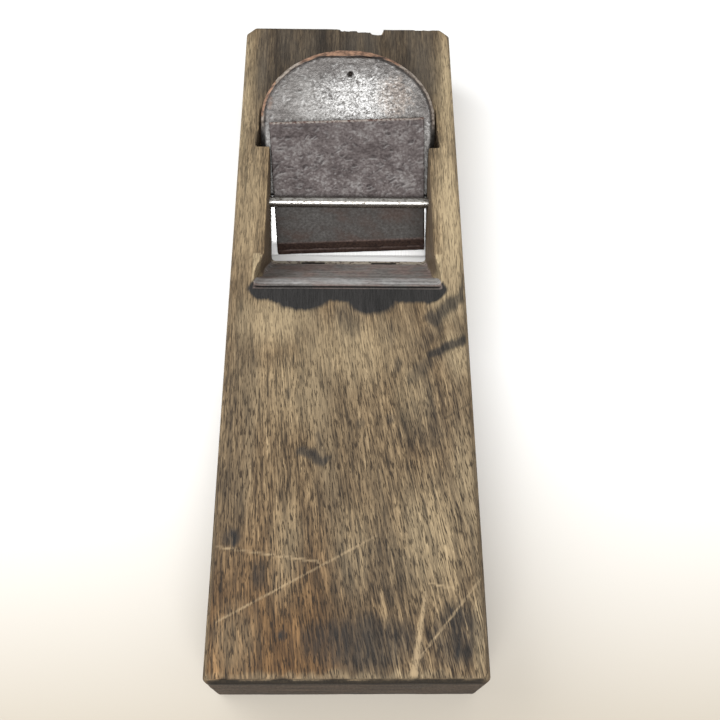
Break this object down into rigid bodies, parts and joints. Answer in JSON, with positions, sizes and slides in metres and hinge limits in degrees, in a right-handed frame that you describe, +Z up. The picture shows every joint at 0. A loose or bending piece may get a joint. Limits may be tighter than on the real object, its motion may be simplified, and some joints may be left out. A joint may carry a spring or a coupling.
{
  "type": "hand plane",
  "caption": "Japanese pull plane: oak block, wedged laminated blade, chipbreaker on its face and a steel pin across the throat.",
  "frame": {"origin": "centre of the block's footprint, on the sole", "axes": "+Y along the block towards the blade head, +Z up from the sole, +X to the right when looking along +Y"},
  "size_m": [0.08, 0.246, 0.047],
  "materials": {
    "oak": "worn bare oak, oiled dark round the throat and the blade head",
    "pin_steel": "rubbed bright, dull underneath",
    "blade_iron": "hammered grey iron with a rusty rim",
    "blade_steel": "polished",
    "breaker_iron": "pitted purple-brown patina",
    "breaker_steel": "dark smooth steel with a rusty ground edge"
  },
  "bodies": {
    "block": {"block": "oak", "chipbreaker_pin": "pin_steel"},
    "blade": {"blade_iron_body": "blade_iron", "blade_steel_face": "blade_steel"},
    "chipbreaker": {"chipbreaker_iron_body": "breaker_iron", "chipbreaker_steel_edge": "breaker_steel"}
  },
  "joints": [
    {"name": "blade_slide", "type": "slide", "parent": "block", "child": "blade", "axis": [0, 0.7809, 0.6247], "range_m": [-0.0012, 0.055]},
    {"name": "chipbreaker_slide", "type": "slide", "parent": "block", "child": "chipbreaker", "axis": [0, 0.7809, 0.6247], "range_m": [-0.002, 0.05]}
  ]
}
